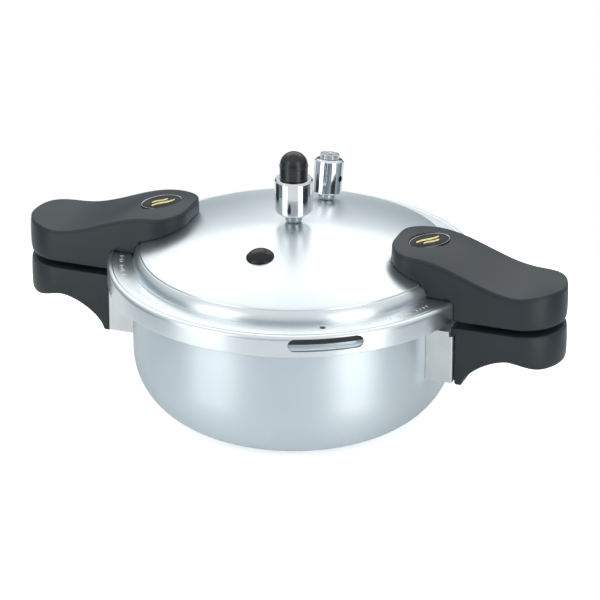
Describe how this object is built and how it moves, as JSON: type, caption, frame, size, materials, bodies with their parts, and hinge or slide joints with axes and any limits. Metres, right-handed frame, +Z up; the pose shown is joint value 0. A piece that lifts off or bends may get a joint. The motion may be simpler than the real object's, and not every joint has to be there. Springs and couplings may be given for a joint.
{
  "type": "stovetop pressure cooker",
  "caption": "Shallow aluminium pressure pan with an outer twist-lock lid, stacked side grips, a lift-off weight valve, a spring relief valve and a rubber safety plug.",
  "frame": {"origin": "centre of the pan's flat resting face", "axes": "+Z up along the axis of pan and lid, +X along the right-hand pair of grips, -Y towards the gasket window's side"},
  "size_m": [0.383, 0.252, 0.1854],
  "materials": {
    "pan_aluminium": "satin spun",
    "lid_aluminium": "satin spun, polished ring",
    "bracket_metal": "satin",
    "rivet_aluminium": "bright",
    "phenolic": "charcoal, soft sheen",
    "screw_steel": "zinc bright",
    "badge_black": "gloss black with a gold mark",
    "gasket_rubber": "moulded",
    "chrome_plate": "bright chrome plate",
    "cap_steel": "knurled",
    "knob_black": "gloss black",
    "plug_rubber": "glossy black"
  },
  "bodies": {
    "pan": {"pan_body": "pan_aluminium", "pan_bracket_left": "bracket_metal", "pan_bracket_right": "bracket_metal", "pan_bracket_rivets": "rivet_aluminium", "pan_grip_left": "phenolic", "pan_grip_right": "phenolic", "pan_grip_screws": "screw_steel"},
    "gasket": {"gasket": "gasket_rubber"},
    "lid": {"lid_shell": "lid_aluminium", "lid_bracket_left": "bracket_metal", "lid_bracket_right": "bracket_metal", "lid_bracket_rivets": "rivet_aluminium", "lid_grip_left": "phenolic", "lid_grip_right": "phenolic", "lid_grip_screws": "screw_steel", "badge_left": "badge_black", "badge_right": "badge_black", "vent_pipe": "chrome_plate", "vent_washer": "gasket_rubber", "vent_nut": "screw_steel", "valve_base": "chrome_plate", "valve_washer": "gasket_rubber", "valve_nut": "screw_steel", "valve_housing": "chrome_plate", "valve_spring": "screw_steel", "valve_cap": "cap_steel", "safety_plug": "plug_rubber"},
    "weight": {"weight_body": "chrome_plate", "weight_needle": "screw_steel", "weight_stud": "screw_steel", "weight_knob": "knob_black"},
    "plunger": {"valve_plunger": "screw_steel"}
  },
  "joints": [
    {"name": "lid_lift", "type": "slide", "parent": "pan", "child": "gasket", "axis": [0, 0, 1], "range_m": [0, 0.12]},
    {"name": "lid_turn", "type": "hinge", "parent": "gasket", "child": "lid", "pos_m": [0, 0, 0.1], "axis": [0, 0, 1], "range_deg": [0, 30]},
    {"name": "weight_lift", "type": "slide", "parent": "lid", "child": "weight", "axis": [0, 0, 1], "range_m": [0, 0.03]},
    {"name": "relief", "type": "slide", "parent": "lid", "child": "plunger", "axis": [0.0099, 0.1885, 0.982], "range_m": [0, 0.0025], "stiffness_N_per_m": 1500, "springref_m": -0.0027, "deforming": ["valve_spring"]}
  ]
}
